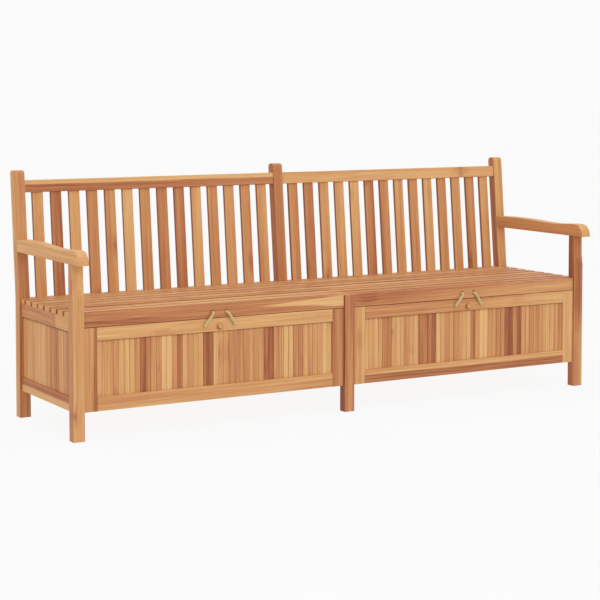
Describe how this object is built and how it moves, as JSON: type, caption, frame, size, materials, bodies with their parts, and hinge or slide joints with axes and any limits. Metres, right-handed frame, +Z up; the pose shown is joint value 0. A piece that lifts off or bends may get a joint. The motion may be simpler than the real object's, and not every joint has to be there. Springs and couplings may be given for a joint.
{
  "type": "storage bench",
  "caption": "Long teak garden bench with a slatted back, two armrests and a storage box under each hinged slatted seat lid.",
  "frame": {"origin": "bottom centre of the whole bench, on the ground", "axes": "+X along the bench, +Y towards its back, +Z up; the front faces -Y"},
  "size_m": [2.202, 0.6294, 0.9],
  "materials": {
    "teak": "fine-sanded oiled teak, satin",
    "teak_inside": "sanded teak, unoiled",
    "hinge_brass": "satin",
    "screw_brass": "satin",
    "rope": "twisted natural-coloured cord"
  },
  "bodies": {
    "frame": {"centre_front_leg": "teak", "centre_rear_post": "teak", "centre_seat_bearer": "teak_inside", "centre_seat_slats": "teak", "divider_boards": "teak_inside", "divider_bottom_rail": "teak_inside", "end_seat_slats": "teak", "floor_bearers": "teak_inside", "floor_boards": "teak_inside", "frame_hinge_leaves": "hinge_brass", "frame_hinge_screws": "screw_brass", "front_knobs": "teak", "hinge_pins": "hinge_brass", "left_armrest": "teak", "left_back_lower_rail": "teak", "left_back_slats": "teak", "left_back_top_rail": "teak", "left_front_boards": "teak", "left_front_bottom_rail": "teak", "left_front_post": "teak", "left_front_stiles": "teak", "left_front_top_rail": "teak", "left_hinge_strip": "teak", "left_rear_boards": "teak", "left_rear_post": "teak", "left_side_boards": "teak", "left_side_top_rail": "teak", "rear_bottom_rails": "teak", "right_armrest": "teak", "right_back_lower_rail": "teak", "right_back_slats": "teak", "right_back_top_rail": "teak", "right_front_boards": "teak", "right_front_bottom_rail": "teak", "right_front_post": "teak", "right_front_stiles": "teak", "right_front_top_rail": "teak", "right_hinge_strip": "teak", "right_rear_boards": "teak", "right_rear_post": "teak", "right_side_boards": "teak", "right_side_top_rail": "teak", "side_bottom_rails": "teak", "side_seat_bearers": "teak_inside"},
    "left_lid": {"left_lid_battens": "teak_inside", "left_lid_front_rail": "teak", "left_lid_hinge_leaves": "hinge_brass", "left_lid_screws": "screw_brass", "left_lid_slats": "teak", "left_rope_inner": "rope", "left_rope_knots": "rope", "left_rope_outer": "rope"},
    "right_lid": {"right_lid_battens": "teak_inside", "right_lid_front_rail": "teak", "right_lid_hinge_leaves": "hinge_brass", "right_lid_screws": "screw_brass", "right_lid_slats": "teak", "right_rope_inner": "rope", "right_rope_knots": "rope", "right_rope_outer": "rope"}
  },
  "joints": [
    {"name": "left_lid_hinge", "type": "hinge", "parent": "frame", "child": "left_lid", "pos_m": [-0.54, 0.19525, 0.4315], "axis": [-1, 0, 0], "range_deg": [0, 97]},
    {"name": "right_lid_hinge", "type": "hinge", "parent": "frame", "child": "right_lid", "pos_m": [0.54, 0.19525, 0.4315], "axis": [-1, 0, 0], "range_deg": [0, 97]}
  ]
}
